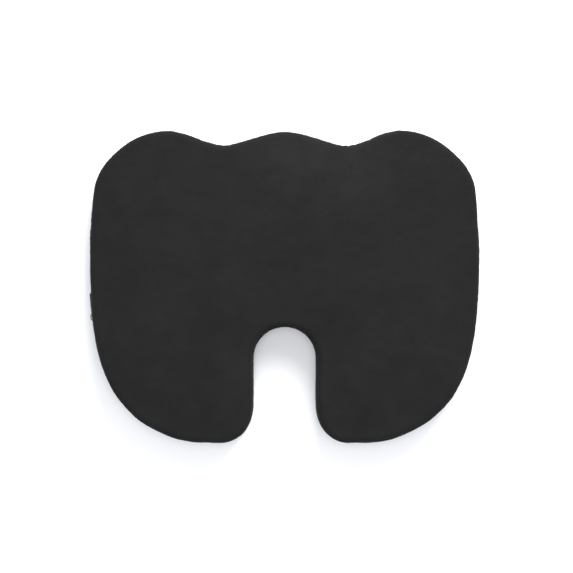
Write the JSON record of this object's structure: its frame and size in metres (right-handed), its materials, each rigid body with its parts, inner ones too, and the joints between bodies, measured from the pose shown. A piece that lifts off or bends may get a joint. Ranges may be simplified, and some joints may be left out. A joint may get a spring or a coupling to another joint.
{
  "type": "seat cushion",
  "caption": "Contoured foam seat cushion in a zipped velour cover, with a lobed front edge and a U-shaped tailbone cut-out at the rear.",
  "frame": {"origin": "centre of the cushion's outline, on the underside of the base panel, so the cushion lies on the plane z = 0 as in use", "axes": "+X across the width, to the left of someone sitting on it, -Y towards the three-lobed front edge, +Y towards the open end of the cut-out, +Z up through the sitting face. The picture shows the cushion stood on its rear lobes with the sitting face to the camera, which is a view along -Z with -Y up"},
  "size_m": [0.453, 0.3601, 0.0699],
  "materials": {
    "velour": "matt short-pile velour, charcoal black",
    "grip_fabric": "woven non-slip base with rubber dots",
    "foam": "open-cell memory foam",
    "liner_knit": "thin knitted liner",
    "zip_tape": "woven polyester tape",
    "zip_coil": "semi-matt nylon coil",
    "zip_metal": "blackened, satin",
    "label": "blank satin label"
  },
  "bodies": {
    "cushion": {"foam_core": "foam", "liner_top": "liner_knit", "liner_base": "liner_knit", "cover_top_panel": "velour", "cover_band_upper": "velour", "cover_band_lower": "velour", "cover_band_rear": "velour", "cover_base_panel": "grip_fabric", "zip_tape_upper": "zip_tape", "zip_tape_lower": "zip_tape", "zip_coil_upper": "zip_coil", "zip_coil_lower": "zip_coil", "zip_top_stop_upper": "zip_metal", "zip_top_stop_lower": "zip_metal", "zip_bottom_stop": "zip_metal", "zip_end_tab_left": "velour", "zip_end_tab_right": "velour", "care_label": "label"},
    "slider": {"zip_slider_body": "zip_metal"},
    "pull": {"zip_pull_tab": "zip_metal"}
  },
  "joints": [
    {"name": "zip_slide", "type": "hinge", "parent": "cushion", "child": "slider", "pos_m": [-0.475, -0.028, 0.026], "axis": [0, 0, -1], "range_deg": [0, 11.5]},
    {"name": "pull_swing", "type": "hinge", "parent": "slider", "child": "pull", "pos_m": [0.22491, 0.0357, 0.026], "axis": [0, 0, 1], "range_deg": [0, 180]}
  ]
}
